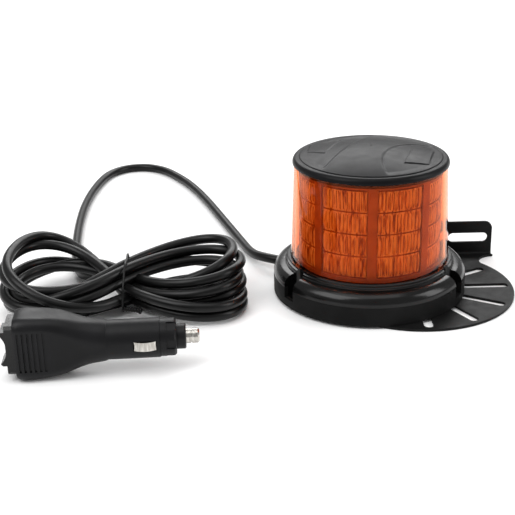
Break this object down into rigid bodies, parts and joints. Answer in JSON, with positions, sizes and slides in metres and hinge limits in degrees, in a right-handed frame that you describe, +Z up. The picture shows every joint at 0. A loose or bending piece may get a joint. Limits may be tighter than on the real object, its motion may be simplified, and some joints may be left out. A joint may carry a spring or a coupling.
{
  "type": "led warning beacon",
  "caption": "Amber LED warning beacon with a magnetic base on a slotted steel bracket, with a tied lead and a 12 V accessory plug with a rocker switch.",
  "frame": {"origin": "on the beacon's axis at the underside of the bracket, which rests on the ground", "axes": "+Z up along the beacon's axis, +X towards the free side of the bracket, -Y the front"},
  "size_m": [0.3078, 0.3615, 0.0906],
  "materials": {
    "powder_black": "black powder coat",
    "housing_black": "glossy black moulding",
    "rubber_black": "matt black rubber",
    "gasket_grey": "soft seal",
    "steel_zinc": "zinc plated",
    "magnet_ferrite": "sintered ferrite",
    "board_green": "circuit board with solder mask",
    "component_dark": "moulded component",
    "pillar_brass": "turned brass",
    "core_aluminium": "extruded aluminium",
    "led_amber": "amber encapsulant",
    "optic_clear": "clear moulded optic",
    "frame_dark": "dark moulding",
    "lens_amber": "clear amber moulding",
    "cap_grey": "satin dark grey moulding",
    "cord_black": "semi-gloss cable sheath",
    "tie_black": "plastic coated wire",
    "plug_black": "satin black moulding",
    "contact_nickel": "nickel plated",
    "spring_steel": "spring steel",
    "fuse_glass": "glass tube"
  },
  "bodies": {
    "beacon": {"base_gasket": "gasket_grey", "base_housing": "housing_black", "base_plate": "steel_zinc", "base_screws": "steel_zinc", "board_pillars": "pillar_brass", "cable_gland": "rubber_black", "cap_pads": "cap_grey", "cap_seal": "gasket_grey", "cord_hank": "cord_black", "cord_lead": "cord_black", "cord_tail": "cord_black", "driver_board": "board_green", "driver_components": "component_dark", "fuse_caps": "contact_nickel", "fuse_glass": "fuse_glass", "hank_tie": "tie_black", "led_board_1": "board_green", "led_board_2": "board_green", "led_board_3": "board_green", "led_board_4": "board_green", "led_board_5": "board_green", "led_board_6": "board_green", "led_board_7": "board_green", "led_board_8": "board_green", "led_core": "core_aluminium", "leds": "led_amber", "lens": "lens_amber", "lens_seal": "gasket_grey", "magnet_cups": "steel_zinc", "magnets": "magnet_ferrite", "optic_frame": "frame_dark", "optic_panel_1": "optic_clear", "optic_panel_2": "optic_clear", "optic_panel_3": "optic_clear", "optic_panel_4": "optic_clear", "optic_panel_5": "optic_clear", "optic_panel_6": "optic_clear", "optic_panel_7": "optic_clear", "optic_panel_8": "optic_clear", "plug_shell_lower": "plug_black", "plug_shell_upper": "plug_black", "plug_strain_relief": "rubber_black", "rocker_pin": "spring_steel", "rubber_boot": "rubber_black", "switch_bezel": "plug_black", "switch_blades": "pillar_brass", "switch_body": "component_dark", "tip_spring": "spring_steel", "top_cap": "cap_grey"},
    "bracket": {"bracket_plate": "powder_black"},
    "rocker": {"rocker": "plug_black"},
    "tip_contact": {"tip_contact": "contact_nickel"},
    "side_contact_near": {"side_contact_near": "contact_nickel"},
    "side_contact_far": {"side_contact_far": "contact_nickel"},
    "nose_ring": {"nose_ring": "plug_black"}
  },
  "joints": [
    {"name": "bracket_slide", "type": "slide", "parent": "beacon", "child": "bracket", "axis": [1, 0, 0], "range_m": [0, 0.12]},
    {"name": "rocker_switch", "type": "hinge", "parent": "beacon", "child": "rocker", "pos_m": [-0.1951, -0.10059, 0.0175], "axis": [-0.0576, 0.9983, 0], "range_deg": [-8, 8]},
    {"name": "tip_press", "type": "slide", "parent": "beacon", "child": "tip_contact", "axis": [-0.9983, -0.0576, 0], "range_m": [0, 0.002], "stiffness_N_per_m": 1500, "springref_m": -0.001, "deforming": ["tip_spring"]},
    {"name": "side_press_near", "type": "slide", "parent": "beacon", "child": "side_contact_near", "axis": [-0.0576, 0.9983, 0], "range_m": [0, 0.0012], "stiffness_N_per_m": 1500, "springref_m": -0.001},
    {"name": "side_press_far", "type": "slide", "parent": "beacon", "child": "side_contact_far", "axis": [0.0576, -0.9983, 0], "range_m": [0, 0.0012], "stiffness_N_per_m": 1500, "springref_m": -0.001},
    {"name": "ring_turn", "type": "hinge", "parent": "beacon", "child": "nose_ring", "pos_m": [-0.11463, -0.09595, 0.0175], "axis": [0.9983, 0.0576, 0], "continuous": true}
  ]
}
